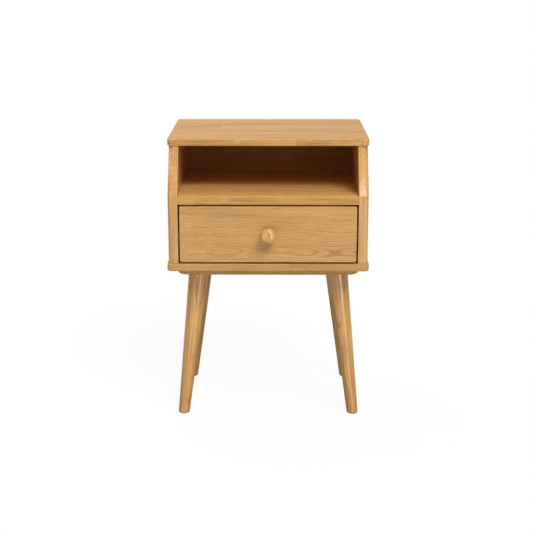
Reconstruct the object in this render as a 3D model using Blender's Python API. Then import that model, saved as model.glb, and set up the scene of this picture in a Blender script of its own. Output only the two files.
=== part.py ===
"""Bedside table: an open compartment above one inset drawer, on four splayed tapered legs.

The frame is metres with +Z up. The drawer opens towards -Y and +X is the right-hand side as
seen from the front. The origin is the middle of the bounding box on the floor.
"""
import math

import bmesh
import bpy
from mathutils import Vector

# Driving dimensions, in metres.
TOP_WIDTH = 0.430
BASE_DEPTH = 0.367
BODY_SETBACK = 0.003
TOP_SETBACK = 0.057
LEG_HEIGHT = 0.344
BASE_THICKNESS = 0.016
DRAWER_OPENING = 0.128
SHELF_THICKNESS = 0.0185
COMPARTMENT_HEIGHT = 0.0975
TOP_THICKNESS = 0.015
SIDE_THICKNESS = 0.021
BACK_THICKNESS = 0.005
BACK_RECESS = 0.055
FIT_GAP = 0.0003

# Edges and corners of the case.
SLAB_CORNER_RADIUS = 0.010
SLAB_EDGE_RADIUS = 0.0022
SIDE_OUTER_RADIUS = 0.008
EASED_EDGE = 0.0012
SHELF_FRONT_RADIUS = 0.002
BACK_GROOVE_DEPTH = 0.006

# Mounting plate and legs.
PLATE_THICKNESS = 0.0138
PLATE_SIDE_INSET = 0.020
PLATE_END_INSET = 0.024
PLATE_CORNER_RADIUS = 0.026
LEG_TOP_RADIUS = 0.0225
LEG_FOOT_RADIUS = 0.0122
LEG_TOP_X = 0.152
LEG_FOOT_X = 0.1895
REAR_LEG_INSET = 0.004
FRONT_FOOT_INSET = 0.059
REAR_FOOT_INSET = 0.066
LEG_SPLAY_DEPTH = 0.030
FOOT_ROUNDING = 0.004
LEG_SIDES = 28

# Drawer.
DRAWER_GAP = 0.0033
DRAWER_FRONT_THICKNESS = 0.020
DRAWER_CORNER_RADIUS = 0.0045
BOX_WALL = 0.012
BOX_HEIGHT = 0.098
BOX_LIFT = 0.010
BOX_LENGTH = 0.270
BOX_BOTTOM_THICKNESS = 0.005
BOX_BOTTOM_LIFT = 0.010
BOX_GROOVE_DEPTH = 0.005
KNOB_RADIUS = 0.0172
KNOB_LENGTH = 0.027
KNOB_COLLAR = (0.60, 0.0012)
KNOB_NECK = (0.42, 0.0032, 0.005)
KNOB_WIDEST = 0.62
KNOB_FULLNESS = 0.8
KNOB_CROWN = 0.06
KNOB_SIDES = 28

# Ball-bearing slides, three nested channels on each side of the drawer.
SLIDE_SPACE = 0.0127
SLIDE_LENGTH = 0.250
SLIDE_SHEET = 0.0012
SLIDE_START = 0.0225
CABINET_MEMBER = (0.0003, 0.0090, 0.0175)
MIDDLE_MEMBER = (0.0032, 0.0097, 0.0145)
DRAWER_MEMBER = (0.0123, 0.0056, 0.0115)

# Fasteners: shank radius, head radius and head height.
DOWEL_RADIUS = 0.004
DOWEL_CHAMFER = 0.0008
BASE_SCREW = (0.0025, 0.0050, 0.0030)
PLATE_SCREW = (0.0020, 0.0040, 0.0025)
DRAWER_SCREW = (0.0020, 0.0040, 0.0022)
SLIDE_SCREW = (0.0016, 0.0034, 0.0009)
HANGER_BOLT_RADIUS = 0.004
HANGER_BOLT_IN_LEG = 0.030
TEE_BARREL_RADIUS = 0.0053
TEE_FLANGE_RADIUS = 0.011
TEE_FLANGE_THICKNESS = 0.0015
FASTENER_SIDES = 10

# How far each fastener reaches, and where it stands.
FASTENER_FRONT_INSET = 0.050
FASTENER_REAR_INSET = 0.030
TOP_DOWEL_IN_TOP = 0.009
TOP_DOWEL_IN_SIDE = 0.020
SHELF_DOWEL_IN_SIDE = 0.012
SHELF_DOWEL_IN_SHELF = 0.018
BASE_SCREW_LENGTH = 0.050
PLATE_SCREW_LENGTH = 0.026
PLATE_SCREW_X = 0.070
PLATE_SCREW_STEP = 0.115
HEAD_SINK = 0.0004
TEE_NUT_LIFT = 0.003
KNOB_SCREW_IN_KNOB = 0.014
FRONT_SCREW_LENGTH = 0.027
FRONT_SCREW_X = 0.110
CABINET_SCREW_LENGTH = 0.013
RUNNER_SCREW_LENGTH = 0.0105
SLIDE_SCREW_INSET = 0.035
HOLE_SPARE = 0.002
TOOL_OVERLAP = 0.001

# Levels and planes worked out from the driving dimensions.
BODY_HALF = TOP_WIDTH / 2 - BODY_SETBACK
INNER_HALF = BODY_HALF - SIDE_THICKNESS
BASE_BOTTOM = LEG_HEIGHT
BASE_TOP = BASE_BOTTOM + BASE_THICKNESS
SHELF_BOTTOM = BASE_TOP + DRAWER_OPENING
SHELF_TOP = SHELF_BOTTOM + SHELF_THICKNESS
TOP_BOTTOM = SHELF_TOP + COMPARTMENT_HEIGHT
TOP_TOP = TOP_BOTTOM + TOP_THICKNESS
PLATE_BOTTOM = BASE_BOTTOM - FIT_GAP - PLATE_THICKNESS
KNOB_REACH = KNOB_LENGTH + FIT_GAP - BODY_SETBACK
BASE_FRONT = KNOB_REACH - (BASE_DEPTH + KNOB_REACH) / 2
BASE_BACK = BASE_FRONT + BASE_DEPTH
BODY_FRONT = BASE_FRONT + BODY_SETBACK
BODY_BACK = BASE_BACK - BODY_SETBACK
TOP_FRONT = BASE_FRONT + TOP_SETBACK
BACK_PANEL_BACK = BODY_BACK - BACK_RECESS
BACK_PANEL_FRONT = BACK_PANEL_BACK - BACK_THICKNESS
BOX_HALF = INNER_HALF - SLIDE_SPACE
BOX_FRONT = BODY_FRONT + DRAWER_FRONT_THICKNESS + FIT_GAP
BOX_BACK = BOX_FRONT + BOX_LENGTH
BOX_LOW = BASE_TOP + BOX_LIFT
BOX_HIGH = BOX_LOW + BOX_HEIGHT
DRAWER_MIDDLE = BASE_TOP + DRAWER_OPENING / 2
SLIDE_MIDDLE = (BOX_LOW + BOX_HIGH) / 2
SLIDE_FRONT = BODY_FRONT + SLIDE_START
SIDE_MIDDLE = BODY_HALF - SIDE_THICKNESS / 2


def clear_scene():
    """Remove every object, so that the model starts from nothing."""
    for item in list(bpy.data.objects):
        bpy.data.objects.remove(item, do_unlink=True)


def make_material(name, colour, roughness, metallic=0.0):
    """A plain Principled material."""
    material = bpy.data.materials.new(name)
    material.use_nodes = True
    shader = material.node_tree.nodes["Principled BSDF"]
    shader.inputs["Base Color"].default_value = (*colour, 1.0)
    shader.inputs["Roughness"].default_value = roughness
    shader.inputs["Metallic"].default_value = metallic
    return material


def add_object(name, shape, material, smooth_angle=math.radians(35)):
    """Turn a bmesh into an object whose origin is the middle of its box."""
    bmesh.ops.recalc_face_normals(shape, faces=shape.faces)
    low = Vector([min(v.co[axis] for v in shape.verts) for axis in range(3)])
    high = Vector([max(v.co[axis] for v in shape.verts) for axis in range(3)])
    middle = (low + high) / 2
    bmesh.ops.translate(shape, verts=shape.verts, vec=-middle)
    mesh = bpy.data.meshes.new(name)
    shape.to_mesh(mesh)
    shape.free()
    mesh.materials.append(material)
    mesh.shade_smooth()
    mesh.set_sharp_from_angle(angle=smooth_angle)
    item = bpy.data.objects.new(name, mesh)
    item.location = middle
    bpy.context.collection.objects.link(item)
    return item


def box_shape(low, high):
    """A box between two corners."""
    shape = bmesh.new()
    bmesh.ops.create_cube(shape, size=1.0)
    size = Vector(high) - Vector(low)
    middle = (Vector(high) + Vector(low)) / 2
    bmesh.ops.scale(shape, verts=shape.verts, vec=size)
    bmesh.ops.translate(shape, verts=shape.verts, vec=middle)
    return shape


def bevel_edges(shape, chosen, width, segments):
    """Round the edges that the test chooses, given each edge's two ends."""
    edges = [edge for edge in shape.edges if chosen(edge.verts[0].co, edge.verts[1].co)]
    bmesh.ops.bevel(shape, geom=edges, offset=width, offset_type="OFFSET", segments=segments,
                    profile=0.5, affect="EDGES", clamp_overlap=True)


def add_board(name, low, high, material, easing=EASED_EDGE, segments=2):
    """A sawn board with every edge eased."""
    shape = box_shape(low, high)
    bevel_edges(shape, lambda a, b: True, easing, segments)
    return add_object(name, shape, material)


def rounded_outline(half_x, half_y, radius, steps):
    """Points round a rectangle whose corners are arcs."""
    points = []
    for corner, (sign_x, sign_y) in enumerate(((1, 1), (-1, 1), (-1, -1), (1, -1))):
        centre_x = sign_x * (half_x - radius)
        centre_y = sign_y * (half_y - radius)
        for step in range(steps + 1):
            angle = (corner + step / steps) * math.pi / 2
            points.append((centre_x + radius * math.cos(angle), centre_y + radius * math.sin(angle)))
    return points


def slab_shape(half_x, front, back, low, high, radius, edge_radius, steps=5, edge_steps=3):
    """A flat slab with round plan corners and rounded top and bottom rims."""
    shape = bmesh.new()
    middle_y = (front + back) / 2
    outline = rounded_outline(half_x, (back - front) / 2, radius, steps)
    levels = []
    for step in range(edge_steps + 1):
        angle = step / edge_steps * math.pi / 2
        inset = edge_radius * (1 - math.sin(angle))
        levels.append((low + edge_radius * (1 - math.cos(angle)), inset))
    levels += [(low + high - z, inset) for z, inset in reversed(levels)]
    rings = []
    for z, inset in levels:
        ring = []
        for x, y in outline:
            scale_x = (half_x - inset) / half_x
            scale_y = ((back - front) / 2 - inset) / ((back - front) / 2)
            ring.append(shape.verts.new((x * scale_x, middle_y + y * scale_y, z)))
        rings.append(ring)
    join_rings(shape, rings)
    return shape


def join_rings(shape, rings):
    """Skin a stack of rings, and close both ends with flat caps."""
    count = len(rings[0])
    for lower, upper in zip(rings, rings[1:]):
        for index in range(count):
            after = (index + 1) % count
            shape.faces.new((lower[index], lower[after], upper[after], upper[index]))
    shape.faces.new(list(reversed(rings[0])))
    shape.faces.new(rings[-1])


def turned_shape(profile, sides, start=0.0):
    """A solid of revolution about Z from (radius, height) pairs, lowest first."""
    shape = bmesh.new()
    rings = []
    for radius, height in profile:
        ring = []
        for side in range(sides):
            angle = start + 2 * math.pi * side / sides
            ring.append(shape.verts.new((radius * math.cos(angle), radius * math.sin(angle), height)))
        rings.append(ring)
    join_rings(shape, rings)
    return shape


def point_along(shape, direction, place):
    """Turn a shape made about +Z to point along another direction, and move it into place."""
    turn = Vector((0, 0, 1)).rotation_difference(Vector(direction)).to_matrix()
    bmesh.ops.rotate(shape, verts=shape.verts, cent=(0, 0, 0), matrix=turn)
    bmesh.ops.translate(shape, verts=shape.verts, vec=Vector(place))
    return shape


def merged(shapes):
    """Put several shapes into one, for a tool that cuts all its holes at once."""
    joined = bmesh.new()
    for shape in shapes:
        mesh = bpy.data.meshes.new("piece")
        bmesh.ops.recalc_face_normals(shape, faces=shape.faces)
        shape.to_mesh(mesh)
        shape.free()
        joined.from_mesh(mesh)
        bpy.data.meshes.remove(mesh)
    return joined


def cut(item, tool_shape):
    """Take a tool shape away from an object, keep the result and drop the tool."""
    tool = add_object("cutting_tool", tool_shape, item.data.materials[0])
    modifier = item.modifiers.new("cut", "BOOLEAN")
    modifier.operation = "DIFFERENCE"
    modifier.solver = "EXACT"
    modifier.object = tool
    bpy.context.view_layer.update()
    evaluated = item.evaluated_get(bpy.context.evaluated_depsgraph_get())
    mesh = bpy.data.meshes.new_from_object(evaluated)
    item.modifiers.clear()
    item.data = mesh
    bpy.data.objects.remove(tool, do_unlink=True)
    mesh.shade_smooth()
    mesh.set_sharp_from_angle(angle=math.radians(35))


def hole(radius, start, direction, depth):
    """A round hole's cutting tool, from start along direction, with the fitting gap all round."""
    profile = ((radius + FIT_GAP, -FIT_GAP), (radius + FIT_GAP, depth + FIT_GAP))
    return point_along(turned_shape(profile, FASTENER_SIDES), direction, start)


def add_dowel(name, start, direction, length, material):
    """A plain wooden dowel with chamfered ends."""
    profile = (
        (DOWEL_RADIUS - DOWEL_CHAMFER, 0.0),
        (DOWEL_RADIUS, DOWEL_CHAMFER),
        (DOWEL_RADIUS, length - DOWEL_CHAMFER),
        (DOWEL_RADIUS - DOWEL_CHAMFER, length),
    )
    return add_object(name, point_along(turned_shape(profile, FASTENER_SIDES), direction, start), material)


def countersunk_profile(kind, length):
    """A flat-headed screw from its point to its head, with a small driver recess."""
    shank, head, height = kind
    return (
        (0.0004, 0.0),
        (shank, 2.5 * shank),
        (shank, length - height),
        (head, length - 0.0003),
        (head, length),
        (head * 0.42, length),
        (head * 0.20, length - height * 0.7),
    )


def pan_profile(kind, length):
    """A screw with a low domed head that stands on the surface, and a small driver recess."""
    shank, head, height = kind
    return (
        (0.0004, 0.0),
        (shank, 2.5 * shank),
        (shank, length),
        (head, length),
        (head, length + height * 0.45),
        (head * 0.72, length + height),
        (head * 0.36, length + height),
        (head * 0.20, length + height * 0.4),
    )


def add_screw(name, profile, head_place, inward, length, material):
    """A screw whose head's underside or face is at head_place, pointing inward."""
    tip = Vector(head_place) + Vector(inward) * length
    shape = point_along(turned_shape(profile, FASTENER_SIDES), -Vector(inward), tip)
    return add_object(name, shape, material)


def countersink(kind, place, inward, length):
    """The cutting tool for a countersunk screw's own room."""
    shank, head, height = kind
    profile = (
        (shank + FIT_GAP, -FIT_GAP),
        (shank + FIT_GAP, length - height - FIT_GAP),
        (head + FIT_GAP, length - 2 * FIT_GAP),
        (head + FIT_GAP, length + TOOL_OVERLAP),
    )
    tip = Vector(place) + Vector(inward) * length
    return point_along(turned_shape(profile, FASTENER_SIDES), -Vector(inward), tip)


def case_materials():
    """The finishes that the pieces use."""
    return {
        "oak": make_material("oak", (0.60, 0.33, 0.12), 0.45),
        "oak_back": make_material("oak_back", (0.45, 0.25, 0.10), 0.55),
        "birch": make_material("birch", (0.66, 0.50, 0.32), 0.55),
        "dowel_wood": make_material("dowel_wood", (0.62, 0.44, 0.26), 0.6),
        "zinc": make_material("zinc", (0.62, 0.63, 0.65), 0.35, 1.0),
    }


def fastener_places():
    """Front and rear stations along the depth for the fasteners that join the case."""
    return {
        "front": TOP_FRONT + FASTENER_FRONT_INSET,
        "rear": BACK_PANEL_FRONT - FASTENER_REAR_INSET,
    }


def back_panel_room():
    """The back panel with the fitting gap all round, as a cutting tool."""
    reach = INNER_HALF + BACK_GROOVE_DEPTH
    return box_shape(
        (-reach - FIT_GAP, BACK_PANEL_FRONT - FIT_GAP, BASE_TOP - TOOL_OVERLAP),
        (reach + FIT_GAP, BACK_PANEL_BACK + FIT_GAP, TOP_BOTTOM + TOOL_OVERLAP),
    )


def add_side_panel(name, sign, material):
    """A side: upright beside the drawer, slanting back from the shelf to the top."""
    low = BASE_TOP + FIT_GAP
    high = TOP_BOTTOM - FIT_GAP
    slant_front = TOP_FRONT + BODY_SETBACK
    outline = (
        (BODY_FRONT, low),
        (BODY_BACK, low),
        (BODY_BACK, high),
        (slant_front, high),
        (BODY_FRONT, SHELF_TOP),
    )
    shape = bmesh.new()
    inner = [shape.verts.new((sign * INNER_HALF, y, z)) for y, z in outline]
    outer = [shape.verts.new((sign * BODY_HALF, y, z)) for y, z in outline]
    join_rings(shape, [inner, outer])

    def is_front(co):
        return co.y < slant_front + 1e-5 and co.z < high + 1e-5 and co.y < BODY_BACK - 0.1

    def is_long(a, b):
        return abs(a.x - b.x) < 1e-6 and abs(a.z - b.z) > 0.02

    def outer_front(a, b):
        return is_long(a, b) and is_front(a) and is_front(b) and abs(a.x) > BODY_HALF - 1e-5

    def inner_front(a, b):
        return is_long(a, b) and is_front(a) and is_front(b) and abs(a.x) < INNER_HALF + 1e-5

    def back_edges(a, b):
        return is_long(a, b) and a.y > BODY_BACK - 1e-5 and b.y > BODY_BACK - 1e-5

    bevel_edges(shape, outer_front, SIDE_OUTER_RADIUS, 6)
    bevel_edges(shape, inner_front, EASED_EDGE, 3)
    bevel_edges(shape, back_edges, SHELF_FRONT_RADIUS, 3)
    return add_object(name, shape, material)


def add_case(mats):
    """The fixed panels of the case."""
    half = TOP_WIDTH / 2
    pieces = {
        "top_panel": add_object("top_panel", slab_shape(
            half, TOP_FRONT, BASE_BACK, TOP_BOTTOM, TOP_TOP, SLAB_CORNER_RADIUS, SLAB_EDGE_RADIUS),
            mats["oak"]),
        "base_panel": add_object("base_panel", slab_shape(
            half, BASE_FRONT, BASE_BACK, BASE_BOTTOM, BASE_TOP, SLAB_CORNER_RADIUS, SLAB_EDGE_RADIUS),
            mats["oak"]),
        "left_side_panel": add_side_panel("left_side_panel", -1, mats["oak"]),
        "right_side_panel": add_side_panel("right_side_panel", 1, mats["oak"]),
    }
    shelf = box_shape(
        (-INNER_HALF + FIT_GAP, BODY_FRONT, SHELF_BOTTOM),
        (INNER_HALF - FIT_GAP, BACK_PANEL_FRONT - FIT_GAP, SHELF_TOP),
    )
    bevel_edges(shelf, lambda a, b: max(a.y, b.y) < BODY_FRONT + 1e-5 and abs(a.x - b.x) > 0.1
                and a.z > SHELF_TOP - 1e-5, SHELF_FRONT_RADIUS, 4)
    bevel_edges(shelf, lambda a, b: max(a.y, b.y) < BODY_FRONT + 1e-5 and abs(a.x - b.x) > 0.1
                and a.z < SHELF_BOTTOM + 1e-5, EASED_EDGE, 3)
    pieces["middle_shelf"] = add_object("middle_shelf", shelf, mats["oak"])
    reach = INNER_HALF + BACK_GROOVE_DEPTH
    pieces["back_panel"] = add_board(
        "back_panel", (-reach, BACK_PANEL_FRONT, BASE_TOP + FIT_GAP),
        (reach, BACK_PANEL_BACK, TOP_BOTTOM - FIT_GAP), mats["oak_back"], 0.0005, 1)
    for name in ("left_side_panel", "right_side_panel"):
        cut(pieces[name], back_panel_room())
    return pieces


def add_top_dowels(pieces, mats):
    """Upright dowels that join the top panel to the sides."""
    length = TOP_DOWEL_IN_SIDE + TOP_DOWEL_IN_TOP
    holes_top = []
    for side, sign in (("left", -1), ("right", 1)):
        holes_side = []
        for station, y in fastener_places().items():
            low = (sign * SIDE_MIDDLE, y, TOP_BOTTOM - TOP_DOWEL_IN_SIDE)
            add_dowel(f"{side}_{station}_top_dowel", low, (0, 0, 1), length, mats["dowel_wood"])
            holes_side.append(hole(DOWEL_RADIUS, low, (0, 0, 1), TOP_DOWEL_IN_SIDE + HOLE_SPARE))
            holes_top.append(hole(DOWEL_RADIUS, low, (0, 0, 1), length))
        cut(pieces[f"{side}_side_panel"], merged(holes_side))
    cut(pieces["top_panel"], merged(holes_top))


def add_shelf_dowels(pieces, mats):
    """Level dowels that carry the shelf between the sides."""
    length = SHELF_DOWEL_IN_SIDE + SHELF_DOWEL_IN_SHELF
    z = (SHELF_BOTTOM + SHELF_TOP) / 2
    holes_shelf = []
    for side, sign in (("left", -1), ("right", 1)):
        holes_side = []
        for station, y in fastener_places().items():
            start = (sign * (INNER_HALF + SHELF_DOWEL_IN_SIDE), y, z)
            inward = (-sign, 0, 0)
            add_dowel(f"{side}_{station}_shelf_dowel", start, inward, length, mats["dowel_wood"])
            holes_side.append(hole(DOWEL_RADIUS, start, inward, SHELF_DOWEL_IN_SIDE + HOLE_SPARE))
            holes_shelf.append(hole(DOWEL_RADIUS, start, inward, length))
        cut(pieces[f"{side}_side_panel"], merged(holes_side))
    cut(pieces["middle_shelf"], merged(holes_shelf))


def add_base_screws(pieces, mats):
    """Long countersunk screws up through the base into the ends of the sides."""
    length = BASE_SCREW_LENGTH
    rooms = []
    for side, sign in (("left", -1), ("right", 1)):
        own = []
        for station, y in fastener_places().items():
            head = (sign * SIDE_MIDDLE, y, BASE_BOTTOM + HEAD_SINK)
            add_screw(f"{side}_{station}_base_screw", countersunk_profile(BASE_SCREW, length),
                      head, (0, 0, 1), length, mats["zinc"])
            rooms.append(countersink(BASE_SCREW, head, (0, 0, 1), length))
            own.append(countersink(BASE_SCREW, head, (0, 0, 1), length))
        cut(pieces[f"{side}_side_panel"], merged(own))
    cut(pieces["base_panel"], merged(rooms))


def leg_stations():
    """Name, top centre and foot centre in plan for each leg."""
    front_y = BASE_FRONT + FRONT_FOOT_INSET
    rear_y = BASE_BACK - REAR_FOOT_INSET
    stations = []
    for end, foot_y, top_y, inset in (("front", front_y, front_y + LEG_SPLAY_DEPTH, 0.0),
                                      ("rear", rear_y, rear_y - LEG_SPLAY_DEPTH, REAR_LEG_INSET)):
        for side, sign in (("left", -1), ("right", 1)):
            top = (sign * (LEG_TOP_X - inset), top_y)
            foot = (sign * (LEG_FOOT_X - inset), foot_y)
            stations.append((f"{end}_{side}", top, foot))
    return stations


def leg_shape(top, foot):
    """A round tapered leg that leans outward, cut level at both ends, with a rounded foot."""
    shape = bmesh.new()
    top_z = PLATE_BOTTOM - FIT_GAP
    heights = []
    for step in range(5):
        angle = step / 4 * math.pi / 2
        heights.append((FOOT_ROUNDING * (1 - math.cos(angle)), FOOT_ROUNDING * (1 - math.sin(angle))))
    body_steps = 3
    for step in range(1, body_steps + 1):
        heights.append((FOOT_ROUNDING + (top_z - FOOT_ROUNDING) * step / body_steps, 0.0))
    rings = []
    for z, inset in heights:
        share = z / top_z
        radius = LEG_FOOT_RADIUS + (LEG_TOP_RADIUS - LEG_FOOT_RADIUS) * share - inset
        x = foot[0] + (top[0] - foot[0]) * share
        y = foot[1] + (top[1] - foot[1]) * share
        ring = []
        for side in range(LEG_SIDES):
            angle = 2 * math.pi * side / LEG_SIDES
            ring.append(shape.verts.new((x + radius * math.cos(angle), y + radius * math.sin(angle), z)))
        rings.append(ring)
    join_rings(shape, rings)
    return shape


def tee_nut_shape(x, y):
    """A flanged threaded insert, let into the upper face of the mounting plate."""
    top = BASE_BOTTOM - 2 * FIT_GAP
    bottom = PLATE_BOTTOM + TEE_NUT_LIFT
    bore = HANGER_BOLT_RADIUS + FIT_GAP
    outline = (
        (bore, bottom),
        (TEE_BARREL_RADIUS, bottom),
        (TEE_BARREL_RADIUS, top - TEE_FLANGE_THICKNESS),
        (TEE_FLANGE_RADIUS, top - TEE_FLANGE_THICKNESS),
        (TEE_FLANGE_RADIUS, top),
        (bore, top),
    )
    shape = bmesh.new()
    rings = []
    for side in range(FASTENER_SIDES):
        angle = 2 * math.pi * side / FASTENER_SIDES
        rings.append([shape.verts.new((x + r * math.cos(angle), y + r * math.sin(angle), z))
                      for r, z in outline])
    count = len(outline)
    for index in range(FASTENER_SIDES):
        ring = rings[index]
        after = rings[(index + 1) % FASTENER_SIDES]
        for point in range(count):
            nearby = (point + 1) % count
            shape.faces.new((ring[point], after[point], after[nearby], ring[nearby]))
    return shape


def tee_nut_room(x, y):
    """The mounting plate's stepped hole for a tee nut and its bolt."""
    top = BASE_BOTTOM - 2 * FIT_GAP
    profile = (
        (HANGER_BOLT_RADIUS + FIT_GAP, PLATE_BOTTOM - TOOL_OVERLAP),
        (HANGER_BOLT_RADIUS + FIT_GAP, PLATE_BOTTOM + TEE_NUT_LIFT - 2 * FIT_GAP),
        (TEE_BARREL_RADIUS + FIT_GAP, PLATE_BOTTOM + TEE_NUT_LIFT - FIT_GAP),
        (TEE_BARREL_RADIUS + FIT_GAP, top - TEE_FLANGE_THICKNESS - 2 * FIT_GAP),
        (TEE_FLANGE_RADIUS + FIT_GAP, top - TEE_FLANGE_THICKNESS - FIT_GAP),
        (TEE_FLANGE_RADIUS + FIT_GAP, top + HOLE_SPARE),
    )
    return point_along(turned_shape(profile, FASTENER_SIDES), (0, 0, 1), (x, y, 0))


def add_legs(mats):
    """Mounting plate, four legs, and the bolt and tee nut that hold each leg."""
    plate = add_object("leg_mounting_plate", slab_shape(
        TOP_WIDTH / 2 - PLATE_SIDE_INSET, BASE_FRONT + PLATE_END_INSET, BASE_BACK - PLATE_END_INSET,
        PLATE_BOTTOM, BASE_BOTTOM - FIT_GAP, PLATE_CORNER_RADIUS, EASED_EDGE, 6, 2), mats["oak"])
    rooms = []
    bolt_low = PLATE_BOTTOM - HANGER_BOLT_IN_LEG
    bolt_length = BASE_BOTTOM - 3 * FIT_GAP - bolt_low
    for name, top, foot in leg_stations():
        leg = add_object(f"{name}_leg", leg_shape(top, foot), mats["oak"])
        x, y = top
        bolt = ((0.0028, 0.0), (HANGER_BOLT_RADIUS, 0.002), (HANGER_BOLT_RADIUS, bolt_length - 0.0006),
                (HANGER_BOLT_RADIUS - 0.0006, bolt_length))
        add_object(f"{name}_hanger_bolt", point_along(
            turned_shape(bolt, FASTENER_SIDES), (0, 0, 1), (x, y, bolt_low)), mats["zinc"])
        add_object(f"{name}_tee_nut", tee_nut_shape(x, y), mats["zinc"])
        cut(leg, hole(HANGER_BOLT_RADIUS, (x, y, bolt_low), (0, 0, 1), bolt_length))
        rooms.append(tee_nut_room(x, y))
    cut(plate, merged(rooms))
    return plate


def add_plate_screws(pieces, plate, mats):
    """Four screws that hold the mounting plate up against the base."""
    length = PLATE_SCREW_LENGTH
    middle_y = (BASE_FRONT + BASE_BACK) / 2
    rooms_plate = []
    rooms_base = []
    for end, step_y in (("front", -PLATE_SCREW_STEP), ("rear", PLATE_SCREW_STEP)):
        for side, sign in (("left", -1), ("right", 1)):
            head = (sign * PLATE_SCREW_X, middle_y + step_y, PLATE_BOTTOM + HEAD_SINK)
            add_screw(f"{end}_{side}_plate_screw", countersunk_profile(PLATE_SCREW, length),
                      head, (0, 0, 1), length, mats["zinc"])
            rooms_plate.append(countersink(PLATE_SCREW, head, (0, 0, 1), length))
            rooms_base.append(countersink(PLATE_SCREW, head, (0, 0, 1), length))
    cut(plate, merged(rooms_plate))
    cut(pieces["base_panel"], merged(rooms_base))


def drawer_front_shape():
    """The inset front: round corners seen from the front, and eased front edges."""
    half_x = INNER_HALF - DRAWER_GAP
    half_z = DRAWER_OPENING / 2 - DRAWER_GAP
    shape = slab_shape(half_x, -half_z, half_z, -DRAWER_FRONT_THICKNESS / 2, DRAWER_FRONT_THICKNESS / 2,
                       DRAWER_CORNER_RADIUS, EASED_EDGE, 4, 2)
    middle = (0, BODY_FRONT + DRAWER_FRONT_THICKNESS / 2, DRAWER_MIDDLE)
    return point_along(shape, (0, -1, 0), middle)


def knob_shape():
    """A mushroom knob: a short neck that flares into a round head with a domed face."""
    collar = KNOB_COLLAR[0] * KNOB_RADIUS
    neck = KNOB_NECK[0] * KNOB_RADIUS
    flare_start = KNOB_NECK[2]
    widest = KNOB_WIDEST * KNOB_LENGTH
    profile = [(collar, 0.0), (collar, KNOB_COLLAR[1]), (neck, KNOB_NECK[1]), (neck, flare_start)]
    flare_steps = 5
    for step in range(1, flare_steps + 1):
        angle = step / flare_steps * math.pi / 2
        radius = neck + (KNOB_RADIUS - neck) * math.sin(angle)
        profile.append((radius, flare_start + (widest - flare_start) * (1 - math.cos(angle))))
    dome_steps = 7
    for step in range(1, dome_steps):
        angle = step / dome_steps * math.pi / 2
        radius = KNOB_RADIUS * math.cos(angle) ** KNOB_FULLNESS
        profile.append((radius, widest + (KNOB_LENGTH - widest) * math.sin(angle)))
    profile.append((KNOB_CROWN * KNOB_RADIUS, KNOB_LENGTH))
    place = (0, BODY_FRONT - FIT_GAP, DRAWER_MIDDLE)
    return point_along(turned_shape(profile, KNOB_SIDES), (0, -1, 0), place)


def drawer_bottom_room():
    """The drawer bottom with the fitting gap all round, as a cutting tool."""
    low, high = drawer_bottom_box()
    grow = Vector((FIT_GAP, FIT_GAP, FIT_GAP))
    return box_shape(Vector(low) - grow, Vector(high) + grow)


def drawer_bottom_box():
    """Lowest and highest corners of the drawer's bottom sheet, which sits in grooves all round."""
    reach_x = BOX_HALF - BOX_WALL + BOX_GROOVE_DEPTH
    low_z = BOX_LOW + BOX_BOTTOM_LIFT
    front = BOX_FRONT + BOX_WALL - BOX_GROOVE_DEPTH
    back = BOX_BACK - BOX_WALL + BOX_GROOVE_DEPTH
    return (-reach_x, front, low_z), (reach_x, back, low_z + BOX_BOTTOM_THICKNESS)


def add_drawer(mats):
    """Drawer front, box and knob, with the screws that hold them together."""
    front = add_object("drawer_front", drawer_front_shape(), mats["oak"])
    inner_x = BOX_HALF - BOX_WALL - FIT_GAP
    sides = []
    for side, sign in (("left", -1), ("right", 1)):
        near = sign * BOX_HALF
        far = sign * (BOX_HALF - BOX_WALL)
        board = add_board(f"drawer_{side}_side", (min(near, far), BOX_FRONT, BOX_LOW),
                          (max(near, far), BOX_BACK, BOX_HIGH), mats["birch"])
        sides.append(board)
    box_front = add_board("drawer_box_front", (-inner_x, BOX_FRONT, BOX_LOW),
                          (inner_x, BOX_FRONT + BOX_WALL, BOX_HIGH), mats["birch"])
    box_back = add_board("drawer_back", (-inner_x, BOX_BACK - BOX_WALL, BOX_LOW),
                         (inner_x, BOX_BACK, BOX_HIGH), mats["birch"])
    low, high = drawer_bottom_box()
    add_board("drawer_bottom", low, high, mats["birch"], 0.0005, 1)
    for board in sides + [box_front, box_back]:
        cut(board, drawer_bottom_room())

    knob = add_object("drawer_knob", knob_shape(), mats["oak"])
    shank = DRAWER_SCREW[0]
    head_y = BOX_FRONT + BOX_WALL + FIT_GAP
    knob_screw_length = head_y - BODY_FRONT + KNOB_SCREW_IN_KNOB
    knob_head = (0, head_y, DRAWER_MIDDLE)
    add_screw("knob_screw", pan_profile(DRAWER_SCREW, knob_screw_length), knob_head, (0, -1, 0),
              knob_screw_length, mats["zinc"])
    tip_y = head_y - knob_screw_length
    for board in (knob, front, box_front):
        cut(board, hole(shank, (0, tip_y, DRAWER_MIDDLE), (0, 1, 0), knob_screw_length + TOOL_OVERLAP))

    for side, sign in (("left", -1), ("right", 1)):
        head = (sign * FRONT_SCREW_X, head_y, DRAWER_MIDDLE)
        add_screw(f"drawer_front_{side}_screw", pan_profile(DRAWER_SCREW, FRONT_SCREW_LENGTH), head,
                  (0, -1, 0), FRONT_SCREW_LENGTH, mats["zinc"])
        tip = (head[0], head_y - FRONT_SCREW_LENGTH, DRAWER_MIDDLE)
        for board in (front, box_front):
            cut(board, hole(shank, tip, (0, 1, 0), FRONT_SCREW_LENGTH + TOOL_OVERLAP))
    return {"drawer_left_side": sides[0], "drawer_right_side": sides[1]}


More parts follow.
